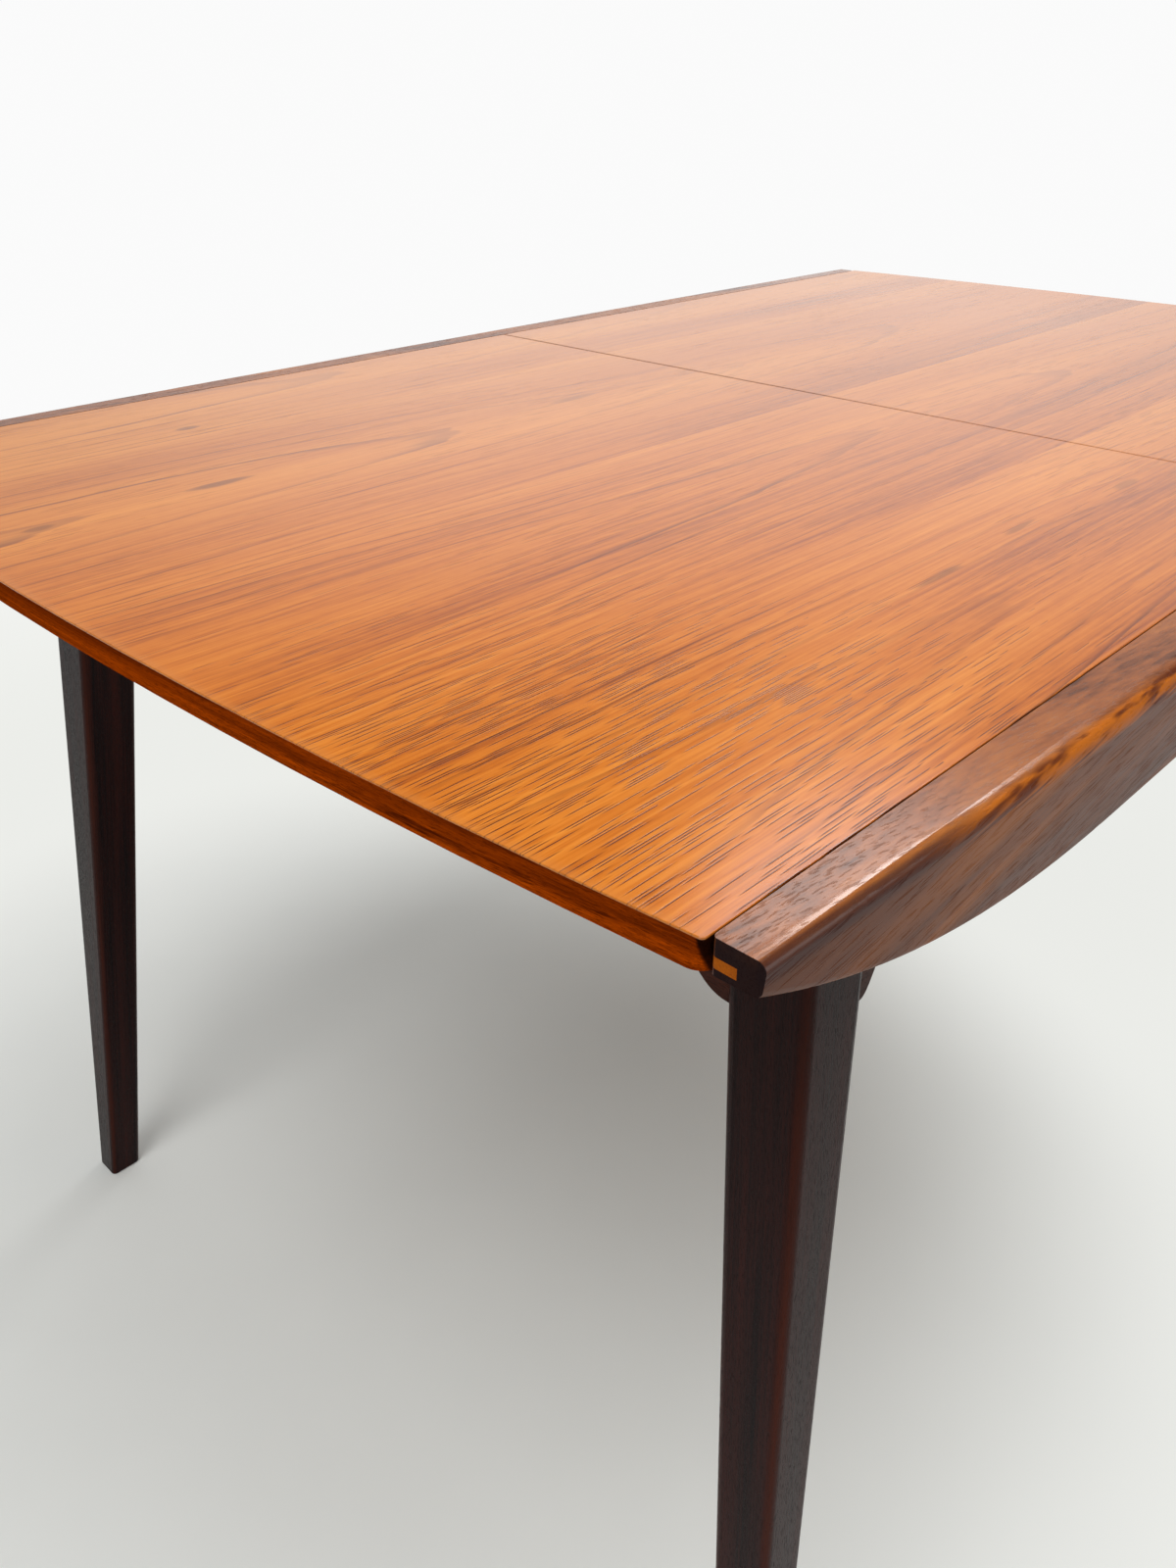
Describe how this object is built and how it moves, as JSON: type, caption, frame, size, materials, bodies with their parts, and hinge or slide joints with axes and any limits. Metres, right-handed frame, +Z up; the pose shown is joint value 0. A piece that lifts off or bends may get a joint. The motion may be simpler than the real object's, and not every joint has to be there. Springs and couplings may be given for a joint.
{
  "type": "extending dining table",
  "caption": "Extending dining table: a veneered top split across the middle slides apart between boat-shaped side rails, on splayed, tapered legs with leaning aprons.",
  "frame": {"origin": "on the floor under the middle of the closed top", "axes": "+X along the table towards the rear half, +Y to the left, +Z up"},
  "size_m": [1.3048, 0.8418, 0.75],
  "materials": {
    "top_veneer": "satin oiled teak veneer",
    "lipping": "satin solid teak",
    "panel_core": "plain backing veneer on board",
    "rail_wood": "satin solid teak",
    "leg_wood": "glossy dark-stained hardwood",
    "apron_wood": "satin solid teak",
    "pale_hardwood": "bare planed beech",
    "screw_steel": "zinc-plated"
  },
  "bodies": {
    "frame": {"left_side_rail": "rail_wood", "right_side_rail": "rail_wood", "front_left_leg": "leg_wood", "front_right_leg": "leg_wood", "rear_left_leg": "leg_wood", "rear_right_leg": "leg_wood", "front_end_apron": "apron_wood", "rear_end_apron": "apron_wood", "left_side_apron": "apron_wood", "right_side_apron": "apron_wood", "left_runner": "pale_hardwood", "right_runner": "pale_hardwood", "front_bearer": "pale_hardwood", "centre_bearer": "pale_hardwood", "rear_bearer": "pale_hardwood", "rail_dowels": "pale_hardwood", "front_left_corner_block": "pale_hardwood", "front_right_corner_block": "pale_hardwood", "rear_left_corner_block": "pale_hardwood", "rear_right_corner_block": "pale_hardwood", "corner_block_screws": "screw_steel", "bearer_screws": "screw_steel"},
    "front_half": {"front_veneer": "top_veneer", "front_core_panel": "panel_core", "front_end_lipping": "lipping", "front_seam_lipping": "lipping", "front_left_side_lipping": "lipping", "front_right_side_lipping": "lipping", "front_stop_blocks": "pale_hardwood", "front_stop_screws": "screw_steel", "seam_dowels": "pale_hardwood"},
    "rear_half": {"rear_veneer": "top_veneer", "rear_core_panel": "panel_core", "rear_end_lipping": "lipping", "rear_seam_lipping": "lipping", "rear_left_side_lipping": "lipping", "rear_right_side_lipping": "lipping", "rear_stop_blocks": "pale_hardwood", "rear_stop_screws": "screw_steel"}
  },
  "joints": [
    {"name": "front_half_slide", "type": "slide", "parent": "frame", "child": "front_half", "axis": [-1, 0, 0], "range_m": [0, 0.25]},
    {"name": "rear_half_slide", "type": "slide", "parent": "frame", "child": "rear_half", "axis": [1, 0, 0], "range_m": [0, 0.25]}
  ]
}
